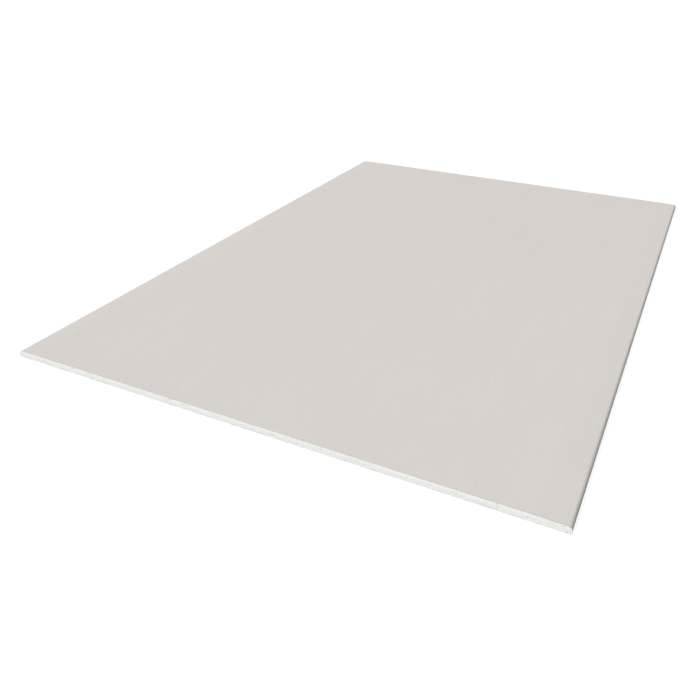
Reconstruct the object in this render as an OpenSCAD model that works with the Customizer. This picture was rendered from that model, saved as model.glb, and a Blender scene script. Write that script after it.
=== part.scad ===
// Sheet of paper-faced gypsum board, lying on its back with the face side up.
// X runs across the sheet, from one tapered long edge to the other. Y runs along it, from one cut end
// to the other. The origin is the middle of the back, at the level that the sheet lies on.

/* [Sheet] */
// Width of the sheet, between its two wrapped long edges
sheet_w = 1219.2; // [600:0.1:1400]
// Length of the sheet, between its two cut ends
sheet_l = 1828.8; // [600:0.1:5000]
// Thickness of the sheet over both papers, between the tapers
sheet_t = 15.875; // [11:0.005:26]

/* [Papers] */
// Thickness of the face paper
face_paper_t = 0.33; // [0.2:0.01:0.6]
// Thickness of the back paper
back_paper_t = 0.3; // [0.2:0.01:0.6]
// Reach of the face paper's fold, in under the back from each long edge
flap_w = 25; // [15:0.5:50]
// Strip of that fold that the back paper leaves bare at each long edge
bare_w = 3; // [2.6:0.1:10]

/* [Long edges] */
// Width of the taper along each long edge
taper_w = 50.8; // [30:0.1:90]
// Drop of the face across a taper
taper_drop = 1.2; // [0.2:0.1:2.5]
// Radius of the upper arris, outside the paper
nose_r = 7; // [2:0.1:9]
// Radius of the lower arris, outside the paper
heel_r = 1.5; // [0.8:0.1:2.5]
// Straight steps around each arris
arris_steps = 9; // [4:1:16]

/* [Hidden] */

half_w = sheet_w / 2;
taper_angle = atan(taper_drop / taper_w);
break_x = half_w - taper_w;
nose_x = half_w - nose_r;
nose_z = sheet_t - (nose_x - break_x) * tan(taper_angle) - nose_r / cos(taper_angle);
heel_x = half_w - heel_r;
heel_z = back_paper_t + heel_r;
flap_x = half_w - flap_w;
back_x = half_w - bare_w;

// Points around a quarter of an arris, from one angle to a lower one.
function arris(x, z, r, from, to) =
    [for (i = [0 : arris_steps])
        let (a = from + (to - from) * i / arris_steps)
        [x + r * cos(a), z + r * sin(a)]];

// The section of the sheet's right half, this deep under the face paper's outer side: from the
// break of the taper, over the long edge, to the end of the fold under the back.
function right_side(depth) =
    concat(
        [[break_x - depth * tan(taper_angle / 2), sheet_t - depth]],
        arris(nose_x, nose_z, nose_r - depth, 90 - taper_angle, 0),
        arris(heel_x, heel_z, heel_r - depth, 0, -90),
        [[flap_x, back_paper_t + depth]]
    );

function reversed(points) = [for (i = [len(points) - 1 : -1 : 0]) points[i]];
function mirrored(points) = [for (p = points) [-p[0], p[1]]];

// The same line for the whole width, from the end of the left fold to the end of the right one.
function wrap(depth) = concat(reversed(mirrored(right_side(depth))), right_side(depth));

// Runs a section of the sheet from one cut end to the other.
module run_of_sheet() {
    rotate([90, 0, 0])
        linear_extrude(height = sheet_l, center = true)
            children();
}

// Cast gypsum, bare at both cut ends, with a shallow step in its back for each fold of face paper.
module gypsum_core() {
    color("#f1f0ed")
        run_of_sheet()
            polygon(concat(wrap(face_paper_t), [[flap_x, back_paper_t], [-flap_x, back_paper_t]]));
}

// One web of paper over the face, both tapers and both long edges, folded in under the back.
module face_paper() {
    color("#d7d1cd")
        run_of_sheet()
            polygon(concat(wrap(0), reversed(wrap(face_paper_t))));
}

// Flat web of paper on the back, over the folds of the face paper.
module back_paper() {
    color("#b9b1a4")
        run_of_sheet()
            translate([-back_x, 0])
                square([2 * back_x, back_paper_t]);
}

gypsum_core();
face_paper();
back_paper();
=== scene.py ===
import math
import random

import bpy
import numpy as np
from mathutils import Matrix, Vector, noise


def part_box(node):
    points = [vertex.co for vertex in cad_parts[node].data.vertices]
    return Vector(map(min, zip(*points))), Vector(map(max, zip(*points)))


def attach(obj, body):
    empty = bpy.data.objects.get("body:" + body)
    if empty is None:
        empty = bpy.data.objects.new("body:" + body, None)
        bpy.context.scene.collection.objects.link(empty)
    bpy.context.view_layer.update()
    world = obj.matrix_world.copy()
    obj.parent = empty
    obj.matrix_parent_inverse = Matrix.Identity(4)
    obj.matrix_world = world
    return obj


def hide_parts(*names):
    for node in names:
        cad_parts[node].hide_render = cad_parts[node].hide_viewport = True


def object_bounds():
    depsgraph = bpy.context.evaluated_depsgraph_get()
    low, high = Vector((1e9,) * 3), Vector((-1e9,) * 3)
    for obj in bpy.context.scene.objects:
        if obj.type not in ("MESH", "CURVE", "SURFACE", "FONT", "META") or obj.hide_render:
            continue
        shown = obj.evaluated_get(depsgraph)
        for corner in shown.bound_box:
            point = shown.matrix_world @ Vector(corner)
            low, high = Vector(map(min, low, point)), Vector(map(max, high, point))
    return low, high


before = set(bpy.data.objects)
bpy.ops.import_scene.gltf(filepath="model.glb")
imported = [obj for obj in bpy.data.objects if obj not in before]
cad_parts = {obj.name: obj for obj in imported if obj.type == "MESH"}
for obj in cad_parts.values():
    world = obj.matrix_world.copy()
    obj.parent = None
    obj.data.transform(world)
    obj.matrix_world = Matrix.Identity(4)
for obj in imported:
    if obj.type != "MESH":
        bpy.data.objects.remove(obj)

# A drywall sheet that lies on its back, face side up. All lengths are in metres.
cad_low, cad_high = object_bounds()


# ---------------------------------------------------------------------------------------------
# Face paper
# One web of multi-ply paper, ivory outside and grey inside. It runs over the face, dips across the
# taper at each long edge, wraps the edge, and is folded in under the back while the plaster is wet.
# ---------------------------------------------------------------------------------------------
paper_low, paper_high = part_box("face_paper")
core_low, core_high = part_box("gypsum_core")
half_width = paper_high.x
half_length = paper_high.y
face_z = paper_high.z
fold_z = paper_low.z
paper_thickness = paper_high.z - core_high.z

# The sheet's section at each long edge.
taper_width = 0.0508
taper_drop = 0.0012
nose_radius = 0.007
heel_radius = 0.0015
fold_reach = 0.025

taper_slope = math.atan(taper_drop / taper_width)
break_x = half_width - taper_width
nose_x = half_width - nose_radius
nose_z = face_z - (nose_x - break_x) * math.tan(taper_slope) - nose_radius / math.cos(taper_slope)
heel_x = half_width - heel_radius
heel_z = fold_z + heel_radius
fold_x = half_width - fold_reach

# The mesh's columns across each stretch of half the web. Its rows: how far the first ones lie from a
# cut end, and the step between the others.
face_columns = 44
taper_columns = 6
nose_columns = 16
side_columns = 5
heel_columns = 8
fold_columns = 6
rows_at_cut = (0, 0.0003, 0.0007, 0.0014, 0.003, 0.006)
paper_step = 0.012

# Slow waves of the web and dents around its long edges: depths, and sizes across and along the
# sheet. Both die out towards the cut ends.
face_swell = 0.00009
swell_size = (0.31, 0.47)
edge_dent = 0.00014
dent_size = (0.4, 0.055)
dented_x = break_x + 0.6 * taper_width
swell_fade = 0.03

# The knife's marks: paper crushed along the cut ends, and ragged rims with coarse and fine tears.
crushed_depth = 0.00014
crushed_width = 0.0006
crushed_length = 0.02
ragged_cut = 0.00022
coarse_tear = 0.011
fine_tear = 0.0017

# The angle from which a web's mesh is creased. Its bake map: the heights of the strips, and the share
# of the layout that each taper takes together with its wrapped edge.
web_crease = math.radians(40)
outside_strip = (0.01, 0.92)
inside_strip = (0.93, 0.95)
side_strips = ((0.955, 0.962), (0.965, 0.972))
end_strips = ((0.975, 0.983), (0.987, 0.995))
edge_share = 0.16

# Colours of the ivory paper and of its grey inner plies, a cooler tint along the wrapped edges that is
# partly rubbed wear and partly painted cool shade, a greyer tint next to the cut ends, and how far its
# fibres stand out.
dark_pulp = (0.612, 0.578, 0.553)
light_pulp = (0.712, 0.672, 0.643)
pale_fibre = (0.785, 0.745, 0.716)
dark_fibre = (0.51, 0.475, 0.45)
brown_speck = (0.30, 0.27, 0.24)
scuffed_paper = (0.55, 0.53, 0.505)
rubbed_and_shade_tint = (0.97, 0.995, 1.0)
cut_end_tint = (0.94, 0.965, 0.965)
dark_ply = (0.50, 0.48, 0.45)
light_ply = (0.74, 0.71, 0.67)
fibre_relief = 0.00006


def steps_between(start, end, count):
    """Evenly spaced values after start, up to and with end."""
    return np.linspace(start, end, count + 1)[1:]


def around(x, z, radius, start, end, count):
    """Stations around an arris, each a place and an outward direction in the sheet's section."""
    turns = steps_between(start, end, count)
    return [(x + radius * math.cos(a), z + radius * math.sin(a), math.cos(a), math.sin(a)) for a in turns]


def half_wrap():
    """Stations of the paper's outer side, from the middle of the face to the end of the right fold."""
    out_x, out_z = math.sin(taper_slope), math.cos(taper_slope)
    nose_start = nose_x + nose_radius * out_x
    stations = [(x, face_z, 0.0, 1.0) for x in np.linspace(0, break_x, face_columns)]
    for x in steps_between(break_x, nose_start, taper_columns):
        stations.append((x, face_z - (x - break_x) * math.tan(taper_slope), out_x, out_z))
    stations += around(nose_x, nose_z, nose_radius, math.pi / 2 - taper_slope, 0, nose_columns)
    for z in steps_between(nose_z, heel_z, side_columns):
        stations.append((half_width, z, 1.0, 0.0))
    stations += around(heel_x, heel_z, heel_radius, 0, -math.pi / 2, heel_columns)
    for x in steps_between(heel_x, fold_x, fold_columns):
        stations.append((x, fold_z, 0.0, -1.0))
    return np.array(stations)


def lengthwise(step):
    """Places along the sheet: close ones next to each cut end, and others about a step apart."""
    at_cut = np.array(rows_at_cut)
    inner = half_length - paper_step
    middle = np.linspace(-inner, inner, round(2 * inner / step) + 1)
    return np.concatenate([-half_length + at_cut, middle, half_length - at_cut[::-1]])


def ripple(*place):
    """Smooth noise between 0 and 1, at a place given by up to three numbers in wavelengths.

    Fixed numbers stand for those that are left out."""
    x, y, z = (place + (0.37, 0.61))[:3]
    return 0.5 + 0.5 * max(-1.0, min(1.0, noise.noise(Vector((x, y, z)))))


def fade(distance, width):
    """0 at the start of a stretch and 1 past its width, with a soft start and end."""
    t = np.clip(distance / width, 0, 1)
    return t * t * (3 - 2 * t)


def cut_back(most, across, seed):
    """How far a paper's cut edge stops short at this place across the web: nothing to the most."""
    coarse = ripple(across / coarse_tear, seed)
    fine = ripple(across / fine_tear, seed + 5.3)
    return most * (0.65 * coarse + 0.35 * fine)


def closed_web(name, outside, inside, share):
    """A closed web between two grids of points, with rows along the sheet and columns across it.

    Its bake map lays the outside out flat and puts the inside and the four rims in narrow strips.
    share holds the place of each column across that layout, from 0 to 1. The cut rims at both ends
    take the piece's second material."""
    rows, columns = outside.shape[:2]
    number = np.arange(rows * columns).reshape(rows, columns)
    under = number + rows * columns
    along = np.linspace(0, 1, rows)
    faces, places = [], []

    def patch(first, second, heights, across, flip):
        """Quads between two rows or columns of point numbers, drawn at two heights of the map."""
        low, high = heights
        corners = [
            (first[:-1], across[:-1], low),
            (first[1:], across[1:], low),
            (second[1:], across[1:], high),
            (second[:-1], across[:-1], high),
        ]
        if flip:
            corners.reverse()
        for i in range(len(across) - 1):
            faces.append([int(numbers[i]) for numbers, _, _ in corners])
            places.extend((u[i], height) for _, u, height in corners)

    def column_heights(strip, i):
        """Where one column's quads lie in a strip of the map."""
        start, end = strip
        return start + (end - start) * share[i], start + (end - start) * share[i + 1]

    for i in range(columns - 1):
        patch(number[:, i], number[:, i + 1], column_heights(outside_strip, i), along, True)
        patch(under[:, i], under[:, i + 1], column_heights(inside_strip, i), along, False)
    patch(number[:, 0], under[:, 0], side_strips[0], along, False)
    patch(number[:, -1], under[:, -1], side_strips[1], along, True)
    patch(number[0], under[0], end_strips[0], share, True)
    patch(number[-1], under[-1], end_strips[1], share, False)

    mesh = bpy.data.meshes.new(name)
    mesh.from_pydata(np.concatenate([outside.reshape(-1, 3), inside.reshape(-1, 3)]), [], faces)
    bake_map = mesh.uv_layers.new(name="OFBake")
    bake_map.data.foreach_set("uv", np.array(places, np.float32).ravel())
    mesh.polygons.foreach_set("use_smooth", [True] * len(faces))
    mesh.set_sharp_from_angle(angle=web_crease)
    finishes = np.zeros(len(faces), np.int32)
    finishes[-2 * (columns - 1):] = 1
    mesh.polygons.foreach_set("material_index", finishes)
    mesh.update()
    piece = bpy.data.objects.new(name, mesh)
    bpy.context.scene.collection.objects.link(piece)
    return piece


def swell(x, y):
    """How far the paper's outside lies below its highest level here, from slow waves and dents."""
    depth = face_swell * ripple(x / swell_size[0], y / swell_size[1])
    if abs(x) > dented_x:
        depth += edge_dent * ripple(y / dent_size[1], x / dent_size[0], 3.1)
    return depth


right_half = half_wrap()
wrap = np.concatenate([right_half[:0:-1] * (-1, 1, -1, 1), right_half])
web_steps = np.hypot(*np.diff(wrap[:, :2], axis=0).T)
web = np.concatenate([[0], np.cumsum(web_steps)])
web -= web[-1] / 2
paper_rows = lengthwise(paper_step)

paper_outside = np.zeros((len(paper_rows), len(wrap), 3))
paper_inside = np.zeros_like(paper_outside)
for i, (x, z, out_x, out_z) in enumerate(wrap):
    for j, y in enumerate(paper_rows):
        to_end = half_length - abs(y)
        crushed = crushed_depth * math.exp(-to_end / crushed_width)
        sunk = swell(x, y) * fade(to_end, swell_fade)
        sunk += crushed * (0.5 + ripple(web[i] / crushed_length, y))
        paper_outside[j, i] = x - out_x * sunk, y, z - out_z * sunk
        paper_inside[j, i] = x - out_x * paper_thickness, y, z - out_z * paper_thickness
    for j, side in ((0, 1), (-1, -1)):
        paper_outside[j, i, 1] += side * cut_back(ragged_cut, web[i], 2.0 + side)
        paper_inside[j, i, 1] += side * cut_back(ragged_cut, web[i], 2.3 + side)

web_share = np.interp(web, [web[0], -break_x, break_x, web[-1]], [0, edge_share, 1 - edge_share, 1])
face_paper = closed_web("face_paper_web", paper_outside, paper_inside, web_share)


def new_finish(name, roughness, specular):
    """A material with its shader's plain numbers set."""
    finish = bpy.data.materials.new(name)
    finish.use_nodes = True
    shader = finish.node_tree.nodes["Principled BSDF"]
    shader.inputs["Roughness"].default_value = roughness
    shader.inputs["Specular IOR Level"].default_value = specular
    return finish, shader


def feed(finish, socket, value):
    """Links another node's result to this socket, or sets the socket to a plain value."""
    if isinstance(value, bpy.types.NodeSocket):
        finish.node_tree.links.new(value, socket)
    else:
        socket.default_value = value


def add_node(finish, kind, **values):
    """A node of this kind, with values for its named inputs."""
    node = finish.node_tree.nodes.new(kind)
    for name, value in values.items():
        feed(finish, node.inputs[name.replace("_", " ")], value)
    return node


def placed(finish):
    """The piece's own coordinates, in metres."""
    nodes = finish.node_tree.nodes
    found = nodes.get("own place") or nodes.new("ShaderNodeTexCoord")
    found.name = "own place"
    return found.outputs["Object"]


def grain(finish, size, detail=2.0, turn=0.0):
    """A noise pattern whose features have this size along X, Y and Z, turned in the sheet's plane."""
    place = add_node(finish, "ShaderNodeMapping", Vector=placed(finish), Rotation=(0, 0, turn))
    scaled = add_node(finish, "ShaderNodeVectorMath", Vector=place.outputs[0])
    scaled.operation = "MULTIPLY"
    scaled.inputs[1].default_value = [1 / s for s in size]
    pattern = add_node(finish, "ShaderNodeTexNoise", Vector=scaled.outputs[0], Scale=1.0, Detail=detail)
    return pattern.outputs[0]


def arithmetic(finish, operation, *values):
    """One Math node's result."""
    node = add_node(finish, "ShaderNodeMath")
    node.operation = operation
    for socket, value in zip(node.inputs, values):
        feed(finish, socket, value)
    return node.outputs[0]


def ramp(finish, pattern, start, end):
    """0 where the pattern is below start and 1 where it is above end, or the other way around."""
    node = add_node(finish, "ShaderNodeMapRange", Value=pattern, From_Min=start, From_Max=end)
    return node.outputs[0]


def weigh(finish, *layers):
    """Adds patterns by their weights, around a middle value of a half."""
    total = 0.5 - sum(weight for _, weight in layers) / 2
    for pattern, weight in layers:
        total = arithmetic(finish, "MULTIPLY_ADD", pattern, weight, total)
    return total


def flecks(finish, spacing, radius, kept):
    """1 inside small specks scattered at about this spacing, and 0 elsewhere. kept thins them out."""
    cells = add_node(finish, "ShaderNodeTexVoronoi", Vector=placed(finish), Scale=1 / spacing)
    inside_speck = arithmetic(finish, "LESS_THAN", cells.outputs["Distance"], radius / spacing)
    drawn = add_node(finish, "ShaderNodeSeparateColor", Color=cells.outputs["Color"])
    chosen = arithmetic(finish, "LESS_THAN", drawn.outputs[0], kept)
    return arithmetic(finish, "MULTIPLY", inside_speck, chosen)


def between(finish, factor, first, second, blend="MIX"):
    """A colour between two, each a plain colour or another node's."""
    node = add_node(finish, "ShaderNodeMix")
    node.data_type = "RGBA"
    node.blend_type = blend
    feed(finish, node.inputs[0], factor)
    for socket, colour in ((node.inputs[6], first), (node.inputs[7], second)):
        feed(finish, socket, (*colour, 1.0) if isinstance(colour, tuple) else colour)
    return node.outputs[2]


def overlaid(finish, colour, pattern, strength, over):
    """A colour with another one over it where the pattern is 1, at this strength."""
    return between(finish, arithmetic(finish, "MULTIPLY", pattern, strength), colour, over)


def tinted(finish, colour, pattern, tint):
    """A colour multiplied by a tint where the pattern is 1."""
    return between(finish, pattern, colour, tint, "MULTIPLY")


def raise_surface(finish, shader, height, depth):
    """Bump of this depth in metres, from a pattern between 0 and 1."""
    bump = add_node(finish, "ShaderNodeBump", Height=height, Distance=depth, Strength=1.0)
    feed(finish, shader.inputs["Normal"], bump.outputs[0])


def band_near_edges(finish, axis, edge, width):
    """1 at the sheet's two outer edges along this axis, fading unevenly to 0 about this width inside."""
    place = add_node(finish, "ShaderNodeSeparateXYZ", Vector=placed(finish)).outputs[axis]
    distance = arithmetic(finish, "SUBTRACT", edge, arithmetic(finish, "ABSOLUTE", place))
    uneven = grain(finish, (0.03, 0.03, 0.03), 3.0)
    distance = arithmetic(finish, "MULTIPLY_ADD", uneven, -0.6 * width, distance)
    return ramp(finish, distance, 0.7 * width, 0.0)


def ivory_paper():
    """Calendered ivory paper: cloudy formation, lengthwise streaks, felted fibres and rare specks.

    It is scuffed along the wrapped edges and tinted cooler and a little greyer there, partly by rubbed
    wear and partly as painted cool shade. It is greyer next to the cut ends."""
    finish, shader = new_finish("ivory_face_paper", 0.9, 0.25)
    clouds = grain(finish, (0.16, 0.24, 0.16))
    streaks = grain(finish, (0.009, 0.6, 0.009), 4.0)
    formation = grain(finish, (0.004, 0.005, 0.004), 3.0)
    felt = grain(finish, (0.0006, 0.0009, 0.0006), 4.0)
    tone = weigh(finish, (clouds, 0.3), (streaks, 0.3), (formation, 0.5), (felt, 1.4))
    colour = between(finish, tone, dark_pulp, light_pulp)

    along = ramp(finish, grain(finish, (0.00028, 0.0042, 0.00028), 2.0, 0.2), 0.52, 0.72)
    slanted = ramp(finish, grain(finish, (0.0003, 0.0036, 0.0003), 2.0, -0.75), 0.54, 0.74)
    across = ramp(finish, grain(finish, (0.0032, 0.0003, 0.0003), 2.0, 0.3), 0.55, 0.75)
    colour = overlaid(finish, colour, arithmetic(finish, "MAXIMUM", along, slanted), 0.8, pale_fibre)
    colour = overlaid(finish, colour, across, 0.6, dark_fibre)
    colour = overlaid(finish, colour, flecks(finish, 0.012, 0.00022, 0.5), 0.45, brown_speck)

    # Painted cool shade, partly rubbed wear: the paper is tinted cooler along both wrapped edges.
    at_edge = band_near_edges(finish, 0, half_width, 0.010)
    colour = tinted(finish, colour, at_edge, rubbed_and_shade_tint)
    scuffs = ramp(finish, grain(finish, (0.0025, 0.03, 0.0025), 4.0), 0.56, 0.68)
    scuffs = arithmetic(finish, "MULTIPLY", scuffs, at_edge)
    colour = overlaid(finish, colour, scuffs, 0.35, scuffed_paper)
    colour = tinted(finish, colour, band_near_edges(finish, 1, half_length, 0.005), cut_end_tint)
    feed(finish, shader.inputs["Base Color"], colour)

    rough = weigh(finish, (formation, 0.25), (felt, 0.3))
    feed(finish, shader.inputs["Roughness"], arithmetic(finish, "MULTIPLY_ADD", rough, 0.14, 0.83))
    raised = weigh(finish, (along, 0.25), (slanted, 0.2), (across, -0.15), (felt, 0.5), (formation, 0.3))
    raise_surface(finish, shader, raised, fibre_relief)
    return finish


def cut_plies():
    """The paper's cut rim: grey recycled plies with torn fibres."""
    finish, shader = new_finish("grey_cut_plies", 0.95, 0.15)
    torn = grain(finish, (0.0006, 0.0006, 0.0002), 3.0)
    feed(finish, shader.inputs["Base Color"], between(finish, torn, dark_ply, light_ply))
    return finish


cut_rim = cut_plies()
face_paper.data.materials.append(ivory_paper())
face_paper.data.materials.append(cut_rim)
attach(face_paper, "root")
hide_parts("face_paper")


# ---------------------------------------------------------------------------------------------
# Gypsum core
# Plaster foamed with fine air bubbles, cast between the papers and set in one piece. The knife leaves
# both ends bare: chalky, pitted where it opened bubbles, and crumbled in places behind the paper.
# ---------------------------------------------------------------------------------------------
rebate_z = fold_z + paper_thickness
inner_nose = nose_radius - paper_thickness
inner_heel = heel_radius - paper_thickness
inner_break = break_x - paper_thickness * math.tan(taper_slope / 2)

# The mesh of each end: its columns and rows, and the angle from which it is creased.
column_step = 0.0007
core_nose_columns = 10
core_rows = 22
core_crease = math.radians(60)

# The knife's waves and the torn grain between them: depths, and sizes across and up the end.
knife_wave = 0.00016
wave_size = (0.07, 0.02)
torn_grain = 0.00022
coarse_size = (0.0045, 0.0035)
fine_size = 0.0016

# The larger opened bubbles: how many on each end, how high they lie, their radii, and their length
# and depth as shares of the radius.
pits_per_end = 520
pit_height = (0.0012, face_z - 0.0008)
pit_radius = (0.0007, 0.0017)
pit_stretch = (1.0, 1.6)
pit_depth = (0.25, 0.8)

# Plaster broken away behind the paper: its depth and its reach from the paper, the lengths of broken
# stretches and of their ragged grain, the level of that pattern at which they start, how fast they
# deepen above it, and the least depth everywhere, as a share.
crumb_depth = 0.0008
crumb_reach = 0.0013
crumb_length = 0.013
crumb_grain = 0.0028
crumb_start = 0.78
crumb_growth = 1.6
least_crumb = 0.10

# The bake map: each end in six strips, and the rest of the core in one narrow strip above them.
map_strips = 6
map_margin = 0.01
lowest_strip = 0.005
strip_pitch = 0.079
strip_height = 0.07
wrapped_strip = (0.965, 0.99)

# The plaster is whiter down to one depth below the face paper, and foamed and greyer under another:
# partly the denser layer against the face paper, partly painted light on the upper part of the cut
# ends. Each has a darker and a lighter colour.
dense_and_lit_depth = 0.004
foamed_depth = 0.0085
dense_and_lit_plaster = ((0.913, 0.890, 0.864), (0.978, 0.962, 0.938))
foamed_plaster = ((0.844, 0.822, 0.798), (0.944, 0.920, 0.896))
shaded_plaster = (0.62, 0.61, 0.585)
plaster_relief = 0.0006


def core_top(x):
    """Upper side of the core at this distance from its middle line."""
    if x <= inner_break:
        return core_high.z
    if x <= nose_x + inner_nose * math.sin(taper_slope):
        return core_high.z - (x - inner_break) * math.tan(taper_slope)
    return nose_z + math.sqrt(max(0.0, inner_nose**2 - (x - nose_x) ** 2))


def core_bottom(x):
    """Lower side of the core over the folds, at this distance from its middle line."""
    if x <= heel_x:
        return rebate_z
    return heel_z - math.sqrt(max(0.0, inner_heel**2 - (x - heel_x) ** 2))


def half_end():
    """Places of the columns of one end, from its middle to the right long edge."""
    stops = [0, inner_break, fold_x, nose_x]
    stretches = [np.zeros(1)]
    for start, end in zip(stops, stops[1:]):
        stretches.append(steps_between(start, end, math.ceil((end - start) / column_step)))
    stretches.append(nose_x + inner_nose * np.sin(steps_between(0, math.pi / 2, core_nose_columns)))
    return np.concatenate(stretches)


right_columns = half_end()
core_columns = np.concatenate([-right_columns[:0:-1], right_columns])
tops = np.array([core_top(abs(x)) for x in core_columns])
bottoms = np.array([core_bottom(abs(x)) for x in core_columns])
inner_columns = np.flatnonzero(np.abs(core_columns) <= fold_x + 1e-9)
levels = np.linspace(0, 1, core_rows + 1)
end_x = np.repeat(core_columns[:, None], core_rows + 1, 1)
end_z = bottoms[:, None] + (tops - bottoms)[:, None] * levels


def bubble_pits(x, z, seed):
    """Depth of the larger opened bubbles over the points of one end, few of them quite round."""
    draw = random.Random(seed)
    depth = np.zeros_like(x)
    for _ in range(pits_per_end):
        middle_x = draw.uniform(-half_width, half_width)
        middle_z = draw.uniform(*pit_height)
        radius = pit_radius[0] + (pit_radius[1] - pit_radius[0]) * draw.random() ** 4
        long, turn = radius * draw.uniform(*pit_stretch), draw.uniform(0, math.pi)
        near = slice(*np.searchsorted(core_columns, (middle_x - long, middle_x + long)))
        off_x, off_z = x[near] - middle_x, z[near] - middle_z
        lengthways = (off_x * math.cos(turn) + off_z * math.sin(turn)) / long
        sideways = (off_z * math.cos(turn) - off_x * math.sin(turn)) / radius
        opened = np.sqrt(np.clip(1 - lengthways**2 - sideways**2, 0, None))
        depth[near] = np.maximum(depth[near], opened * radius * draw.uniform(*pit_depth))
    return depth


def crumbs(x, z, seed):
    """Depth of the places where plaster broke away behind the paper."""
    rim = np.minimum(tops[:, None] - z, z - bottoms[:, None])
    rim = np.minimum(rim, (half_width - paper_thickness) - np.abs(x))
    depth = np.zeros_like(x)
    for i in range(x.shape[0]):
        for j in np.flatnonzero(rim[i] < 2 * crumb_reach):
            upper = z[i, j] > (tops[i] + bottoms[i]) / 2
            broken = ripple(x[i, j] / crumb_length, seed + 7.7 * upper)
            ragged = ripple(x[i, j] / crumb_grain, z[i, j] / crumb_grain, seed + 1.9)
            amount = crumb_growth * max(0.0, broken + 0.5 * ragged - crumb_start) + least_crumb
            depth[i, j] = crumb_depth * amount * math.exp(-2 * (rim[i, j] / crumb_reach) ** 2)
    return depth


def knife_cut(x, z, seed):
    """Depth of the waves and torn grain that the knife leaves."""
    depth = np.zeros_like(x)
    for i in range(x.shape[0]):
        for j in range(x.shape[1]):
            wave = ripple(x[i, j] / wave_size[0], z[i, j] / wave_size[1], seed)
            coarse = ripple(x[i, j] / coarse_size[0], z[i, j] / coarse_size[1], seed + 2.2)
            fine = ripple(x[i, j] / fine_size, z[i, j] / fine_size, seed + 4.4)
            depth[i, j] = knife_wave * wave + torn_grain * (0.6 * coarse + 0.4 * fine)
    return depth


def end_relief(seed):
    """Depth of one end below its flat cut, and how deep each point lies in a pit or a crumb."""
    dents = np.maximum(bubble_pits(end_x, end_z, seed), crumbs(end_x, end_z, seed))
    return dents + knife_cut(end_x, end_z, seed), dents


def around_end(grid, back):
    """Point numbers once around one end: over the top, down the right side, and back below."""
    first, last = inner_columns[0], inner_columns[-1]
    over, down = grid[:, -1], grid[-1, -2::-1]
    fold_right, below, fold_left = grid[-2:last - 1:-1, 0], back[::-1], grid[first::-1, 0]
    up = grid[0, 1:-1]
    return [int(n) for n in np.concatenate([over, down, fold_right, below, fold_left, up])]


def core_mesh():
    """The core as one closed mesh, with fine relief on both ends and its bake map mostly for them."""
    points, dent_depths, grids, backs = [], [], [], []
    for seed, side in ((1, -1), (2, 1)):
        relief, dents = end_relief(seed)
        y = side * (half_length - relief)
        grids.append(np.arange(end_x.size).reshape(end_x.shape) + len(points))
        points += np.stack([end_x, y, end_z], -1).reshape(-1, 3).tolist()
        backs.append(np.arange(len(inner_columns)) + len(points))
        points += [(core_columns[i], y[i, 0], core_low.z) for i in inner_columns]
        dent_depths += dents.ravel().tolist() + dents[inner_columns, 0].tolist()
    faces, places = [], []
    strip_width = 2 * half_width / map_strips

    def on_map(x, z, strip, end):
        """A place on an end, in its own strip of the bake map."""
        u = map_margin + (1 - 2 * map_margin) * ((x + half_width) / strip_width - strip)
        v = lowest_strip + strip_pitch * (strip + map_strips * end) + strip_height * z / face_z
        return u, v

    def end_quad(numbers, corners, end):
        """One quad of an end, turned to face outward, and its place on the bake map."""
        if end:
            numbers, corners = numbers[::-1], corners[::-1]
        middle_x = sum(x for x, _ in corners) / 4
        strip = min(map_strips - 1, int((middle_x + half_width) / strip_width))
        faces.append(numbers)
        places.extend(on_map(x, z, strip, end) for x, z in corners)

    for end, (grid, back) in enumerate(zip(grids, backs)):
        for i in range(len(core_columns) - 1):
            for j in range(core_rows):
                spots = ((i, j), (i + 1, j), (i + 1, j + 1), (i, j + 1))
                end_quad([int(grid[s]) for s in spots], [(end_x[s], end_z[s]) for s in spots], end)
        for k, i in enumerate(inner_columns[:-1]):
            corners = [
                (core_columns[i], core_low.z),
                (core_columns[i + 1], core_low.z),
                (core_columns[i + 1], end_z[i + 1, 0]),
                (core_columns[i], end_z[i, 0]),
            ]
            end_quad([int(n) for n in (back[k], back[k + 1], grid[i + 1, 0], grid[i, 0])], corners, end)

    front_rim, rear_rim = (around_end(grid, back) for grid, back in zip(grids, backs))
    total = len(front_rim)
    low, high = wrapped_strip
    for i in range(total):
        k = (i + 1) % total
        faces.append([front_rim[i], front_rim[k], rear_rim[k], rear_rim[i]])
        u0, u1 = i / total, (i + 1) / total
        places.extend([(u0, low), (u1, low), (u1, high), (u0, high)])

    mesh = bpy.data.meshes.new("gypsum_core_cast")
    mesh.from_pydata(points, [], faces)
    mesh.uv_layers.new(name="OFBake").data.foreach_set("uv", np.array(places, np.float32).ravel())
    dent = mesh.attributes.new("dent", "FLOAT", "POINT")
    dent.data.foreach_set("value", np.clip(np.array(dent_depths, np.float32) / crumb_depth, 0, 1))
    mesh.polygons.foreach_set("use_smooth", [True] * len(faces))
    mesh.set_sharp_from_angle(angle=core_crease)
    mesh.update()
    return mesh


def small_bubbles(finish, spacing, smallest, largest):
    """Depth of fine round bubbles that the cut opened: 0 outside them and 1 deep in the largest.

    Most of them are small. The depth is the height of a half ball at this distance from its middle."""
    cells = add_node(finish, "ShaderNodeTexVoronoi", Vector=placed(finish), Scale=1 / spacing)
    away = cells.outputs["Distance"]
    drawn = add_node(finish, "ShaderNodeSeparateColor", Color=cells.outputs["Color"]).outputs[0]
    drawn = arithmetic(finish, "POWER", drawn, 2.5)
    low, high = smallest / spacing, largest / spacing
    radius = arithmetic(finish, "MULTIPLY_ADD", drawn, high - low, low)
    less = arithmetic(finish, "SUBTRACT", radius, away)
    more = arithmetic(finish, "ADD", radius, away)
    squared = arithmetic(finish, "MAXIMUM", arithmetic(finish, "MULTIPLY", less, more), 0.0)
    return arithmetic(finish, "DIVIDE", arithmetic(finish, "SQRT", squared), high)


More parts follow.
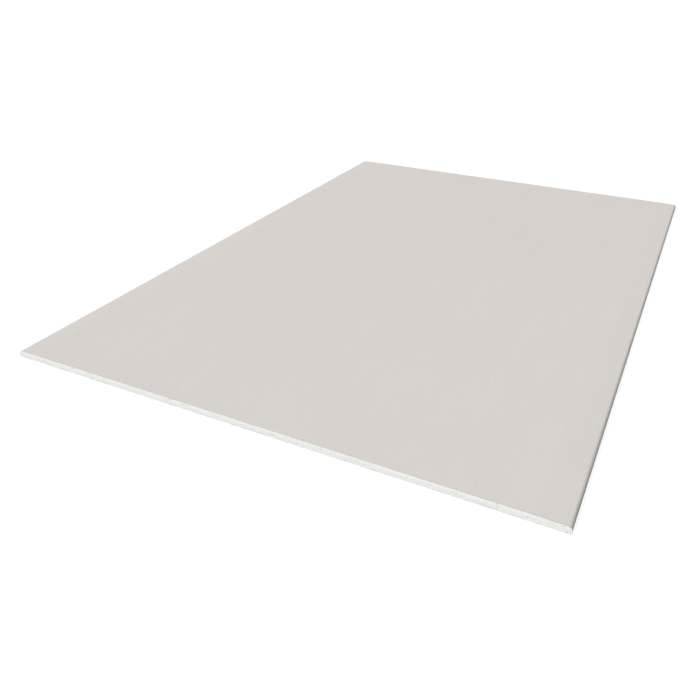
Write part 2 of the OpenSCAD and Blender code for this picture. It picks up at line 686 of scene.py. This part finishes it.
def chalky_plaster():
    """White set plaster: faint clouding, fine crystals and small bubbles, greyer down in the dents.

    It is whiter in the upper half of the sheet, towards the face paper: partly a denser layer there,
    partly painted light."""
    finish, shader = new_finish("white_gypsum", 0.95, 0.2)
    clouds = grain(finish, (0.02, 0.02, 0.006), 3.0)
    crystals = grain(finish, (0.0009, 0.0009, 0.0009), 4.0)
    fine = grain(finish, (0.0003, 0.0003, 0.0003), 2.0)
    tone = weigh(finish, (clouds, 0.4), (crystals, 0.5), (fine, 0.4))
    foamed = between(finish, tone, *foamed_plaster)
    dense_and_lit = between(finish, tone, *dense_and_lit_plaster)
    # Painted light, partly a real denser layer: the upper part of each end is whiter towards the face
    # paper.
    height = add_node(finish, "ShaderNodeSeparateXYZ", Vector=placed(finish)).outputs[2]
    near_face = ramp(finish, height, core_high.z - foamed_depth, core_high.z - dense_and_lit_depth)
    colour = between(finish, near_face, foamed, dense_and_lit)

    froth = small_bubbles(finish, 0.0011, 0.00008, 0.0004)
    bubbles = small_bubbles(finish, 0.0024, 0.0001, 0.00095)
    dent = add_node(finish, "ShaderNodeAttribute")
    dent.attribute_name = "dent"
    shade = arithmetic(finish, "MULTIPLY", dent.outputs["Fac"], 0.34)
    shade = arithmetic(finish, "MAXIMUM", shade, arithmetic(finish, "MULTIPLY", bubbles, 0.5))
    shade = arithmetic(finish, "MAXIMUM", shade, arithmetic(finish, "MULTIPLY", froth, 0.4))
    feed(finish, shader.inputs["Base Color"], between(finish, shade, colour, shaded_plaster))
    surface = weigh(finish, (froth, -0.35), (bubbles, -0.8), (crystals, 0.3), (fine, 0.12))
    raise_surface(finish, shader, surface, plaster_relief)
    return finish


core = bpy.data.objects.new("gypsum_core_cast", core_mesh())
bpy.context.scene.collection.objects.link(core)
core.data.materials.append(chalky_plaster())
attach(core, "root")
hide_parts("gypsum_core")


# ---------------------------------------------------------------------------------------------
# Back paper
# A web of plain brown-grey recycled liner, pressed onto the wet plaster and glued over the folds of
# the face paper. Its slit edges wander a little, and its cut ends are as ragged as the face paper's.
# ---------------------------------------------------------------------------------------------
back_low, back_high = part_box("back_paper")
bare_strip = half_width - back_high.x

# Columns in from each slit edge, closest over the end of the fold, and evenly spaced ones between.
columns_at_slit = (0, 0.004, 0.009, 0.014, 0.018, fold_reach - bare_strip, 0.026, 0.032, 0.045)
middle_columns = 56
middle_margin = 0.06
back_step = 0.018

# Slit edges that wander, the rise over the end of each fold, and slow waves, which die out where the
# liner is pressed down at its slit edges.
slit_wander = 0.0006
wander_length = 0.19
wander_fade = 0.03
fold_ridge = 0.00006
ridge_width = 0.004
back_swell = 0.00008
back_swell_size = (0.2, 0.3)
pressed_width = 0.012

# Colours of the recycled liner and of its specks, and how far its fibres stand out.
dark_liner = (0.36, 0.325, 0.275)
light_liner = (0.52, 0.48, 0.42)
dark_speck = (0.14, 0.12, 0.10)
pale_speck = (0.72, 0.69, 0.63)
liner_relief = 0.00008

from_edge = np.array(columns_at_slit)
middle_end = back_high.x - middle_margin
in_middle = np.linspace(-middle_end, middle_end, middle_columns)[::-1]
back_columns = np.concatenate([back_high.x - from_edge, in_middle, -back_high.x + from_edge[::-1]])
back_rows = lengthwise(back_step)

underside = np.zeros((len(back_rows), len(back_columns), 3))
upper_side = np.zeros_like(underside)
for i, x in enumerate(back_columns):
    from_slit = back_high.x - abs(x)
    ridge = fold_ridge * math.exp(-(((abs(x) - fold_x) / ridge_width) ** 2))
    for j, y in enumerate(back_rows):
        wander = slit_wander * ripple(y / wander_length, 8.1 * np.sign(x))
        wander *= 1 - fade(from_slit, wander_fade)
        waves = back_swell * ripple(x / back_swell_size[0], y / back_swell_size[1], 5.0)
        sunk = (fold_ridge - ridge + waves) * fade(from_slit, pressed_width)
        sunk *= fade(half_length - abs(y), swell_fade)
        place_x = x - np.sign(x) * wander
        underside[j, i] = place_x, y, back_low.z + sunk
        upper_side[j, i] = place_x, y, back_high.z
    for j, side in ((0, 1), (-1, -1)):
        short = cut_back(ragged_cut, x, 11.0 + side)
        underside[j, i, 1] += side * short
        upper_side[j, i, 1] += side * short

back_share = (back_high.x - back_columns) / (2 * back_high.x)
back_paper = closed_web("back_paper_web", underside, upper_side, back_share)


def liner_paper():
    """Brown-grey recycled liner: coarse fibres, streaks, and pale and dark specks."""
    finish, shader = new_finish("recycled_liner", 0.92, 0.2)
    clouds = grain(finish, (0.12, 0.2, 0.12), 3.0)
    streaks = grain(finish, (0.012, 0.5, 0.012), 4.0)
    formation = grain(finish, (0.005, 0.007, 0.005), 3.0)
    along = grain(finish, (0.0006, 0.0035, 0.0006), 3.0, 0.25)
    across = grain(finish, (0.0028, 0.0006, 0.0006), 3.0, -0.3)
    tone = weigh(finish, (clouds, 0.3), (streaks, 0.3), (formation, 0.5), (along, 0.7), (across, 0.5))
    colour = between(finish, tone, dark_liner, light_liner)
    colour = overlaid(finish, colour, flecks(finish, 0.007, 0.00035, 0.5), 0.6, dark_speck)
    colour = overlaid(finish, colour, flecks(finish, 0.0093, 0.0004, 0.45), 0.6, pale_speck)
    feed(finish, shader.inputs["Base Color"], colour)
    raised = weigh(finish, (along, 0.6), (across, 0.4), (formation, 0.4))
    raise_surface(finish, shader, raised, liner_relief)
    return finish


back_paper.data.materials.append(liner_paper())
back_paper.data.materials.append(cut_rim)
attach(back_paper, "root")
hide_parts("back_paper")

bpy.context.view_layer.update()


# ---------------------------------------------------------------------------------------------
# Studio
# A plain pale floor under the sheet, a broad soft light from above on the left, and a camera that
# looks down over one front corner.
# ---------------------------------------------------------------------------------------------
scene = bpy.context.scene
scene.view_settings.view_transform = "Standard"

floor_reach = 80.0
floor_mesh = bpy.data.meshes.new("studio_floor")
floor_corners = [(x * floor_reach, y * floor_reach, 0) for x, y in ((-1, -1), (1, -1), (1, 1), (-1, 1))]
floor_mesh.from_pydata(floor_corners, [], [(0, 1, 2, 3)])
floor = bpy.data.objects.new("studio_floor", floor_mesh)
scene.collection.objects.link(floor)

# The floor glows softly: white as seen, and a cooler, dimmer grey where it lights the sheet's edges.
white_glow = (0.905, 0.905, 0.905)
cool_glow = (0.80, 0.852, 0.862)
floor_finish, floor_shader = new_finish("pale_floor", 0.9, 0.1)
floor_shader.inputs["Base Color"].default_value = (0.13, 0.13, 0.13, 1)
floor_seen = add_node(floor_finish, "ShaderNodeLightPath").outputs["Is Camera Ray"]
glow = between(floor_finish, floor_seen, cool_glow, white_glow)
feed(floor_finish, floor_shader.inputs["Emission Color"], glow)
floor_shader.inputs["Emission Strength"].default_value = 1.0
floor.data.materials.append(floor_finish)

# The walls are white too, and give the sheet only a little light.
room = bpy.data.worlds.new("studio_room")
room.use_nodes = True
scene.world = room
air = room.node_tree.nodes["Background"]
air.inputs["Color"].default_value = (0.96, 1.0, 1.0, 1)
air.inputs["Strength"].default_value = 0.05
wall = add_node(room, "ShaderNodeBackground", Color=(1.0, 1.0, 1.0, 1), Strength=1.035)
wall_seen = add_node(room, "ShaderNodeLightPath").outputs["Is Camera Ray"]
mixed = add_node(room, "ShaderNodeMixShader", Fac=wall_seen)
feed(room, mixed.inputs[1], air.outputs[0])
feed(room, mixed.inputs[2], wall.outputs[0])
feed(room, room.node_tree.nodes["World Output"].inputs[0], mixed.outputs[0])

key_light = bpy.data.lights.new("key_light", "SUN")
key_light.energy = 3.66
key_light.angle = math.radians(22)
key_light.color = (1.0, 0.995, 0.985)
lamp = bpy.data.objects.new("key_light", key_light)
lamp.rotation_mode = "QUATERNION"
lamp.rotation_quaternion = Vector((-0.48, -0.43, 0.97)).to_track_quat("Z", "Y")
scene.collection.objects.link(lamp)

sheet_width = cad_high.x - cad_low.x
face_middle = Vector(((cad_low.x + cad_high.x) / 2, (cad_low.y + cad_high.y) / 2, cad_high.z))
camera_place = face_middle + sheet_width * Vector((0.54096, -1.52729, 0.66418))
heading = math.radians(26.914)
pitch = math.radians(29.320)
roll = math.radians(0.501)

camera_data = bpy.data.cameras.new("camera")
camera_data.sensor_width = 36
camera_data.lens = 37.641
camera_data.shift_x = 0.0225
camera_data.clip_end = 300
camera = bpy.data.objects.new("camera", camera_data)
camera.matrix_world = (
    Matrix.Translation(camera_place)
    @ Matrix.Rotation(heading, 4, "Z")
    @ Matrix.Rotation(math.pi / 2 - pitch, 4, "X")
    @ Matrix.Rotation(roll, 4, "Z")
)
scene.collection.objects.link(camera)
scene.camera = camera
